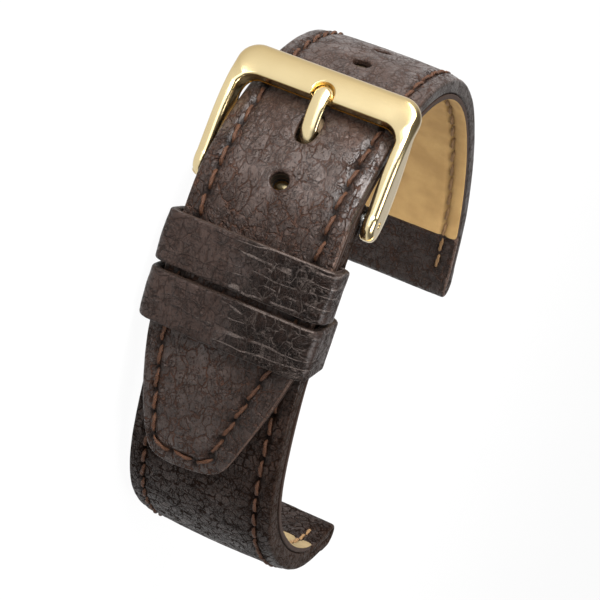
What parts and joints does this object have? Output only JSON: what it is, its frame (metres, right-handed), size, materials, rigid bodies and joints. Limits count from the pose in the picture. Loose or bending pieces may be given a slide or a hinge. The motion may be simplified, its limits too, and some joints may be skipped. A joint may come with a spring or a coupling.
{
  "type": "leather watch strap",
  "caption": "Buckled leather watch strap: holed long piece, short piece, gold-coloured tongue buckle on a spring bar, a fixed and a sliding keeper.",
  "frame": {"origin": "centre of the box that the buckled strap fills, on the surface it lies on: the strap lies on its left edge, on the buckle's lower arm", "axes": "+Z across the strap, from its left edge up to its right edge as the picture shows them; +X from the buckle's front bar toward the keepers; +Y from the buckle across the loop toward the lug ends"},
  "size_m": [0.0616, 0.0636, 0.0219],
  "materials": {
    "brown_leather": "pebbled, semi-matte",
    "keeper_leather": "creased, semi-gloss",
    "tan_lining": "nubuck, matte",
    "filler_board": "matte",
    "rust_thread": "waxed thread",
    "tan_thread": "waxed thread",
    "gold_plate": "polished pale gold plating",
    "bar_steel": "bright steel"
  },
  "bodies": {
    "strap": {"long_upper": "brown_leather", "long_lug_fold": "brown_leather", "long_lining": "tan_lining", "long_filler": "filler_board", "long_lug_reinforcement": "filler_board", "long_top_thread": "rust_thread", "long_bobbin_thread": "tan_thread", "short_upper": "brown_leather", "short_lug_fold": "brown_leather", "short_lining": "tan_lining", "short_filler": "filler_board", "short_lug_reinforcement": "filler_board", "short_buckle_reinforcement": "filler_board", "short_top_thread": "rust_thread", "short_bobbin_thread": "tan_thread", "fixed_keeper": "keeper_leather", "fixed_keeper_lining": "tan_lining", "bar_tube": "bar_steel", "bar_spring": "bar_steel"},
    "free_loop": {"free_keeper": "keeper_leather", "free_keeper_lining": "tan_lining"},
    "frame": {"buckle_frame": "gold_plate"},
    "tongue": {"buckle_tongue": "gold_plate"},
    "pin_left": {"bar_pin_left": "bar_steel"},
    "pin_right": {"bar_pin_right": "bar_steel"}
  },
  "joints": [
    {"name": "free_keeper_slide", "type": "hinge", "parent": "strap", "child": "free_loop", "pos_m": [-0.02268, 0.0274, 0.01095], "axis": [0, 0, 1], "range_deg": [0, 9]},
    {"name": "frame_lift", "type": "hinge", "parent": "strap", "child": "frame", "pos_m": [-0.00138, -0.02646, 0.01095], "axis": [0, 0, 1], "range_deg": [0, 2.5]},
    {"name": "tongue_lift", "type": "hinge", "parent": "frame", "child": "tongue", "pos_m": [-0.00138, -0.02646, 0.01095], "axis": [0, 0, 1], "range_deg": [0, 2.5]},
    {"name": "pin_left_press", "type": "slide", "parent": "strap", "child": "pin_left", "axis": [0, 0, 1], "range_m": [0, 0.00135], "stiffness_N_per_m": 400, "springref_m": -0.001, "deforming": ["bar_spring"]},
    {"name": "pin_right_press", "type": "slide", "parent": "strap", "child": "pin_right", "axis": [0, 0, -1], "range_m": [0, 0.00135], "stiffness_N_per_m": 400, "springref_m": -0.001, "deforming": ["bar_spring"]}
  ]
}
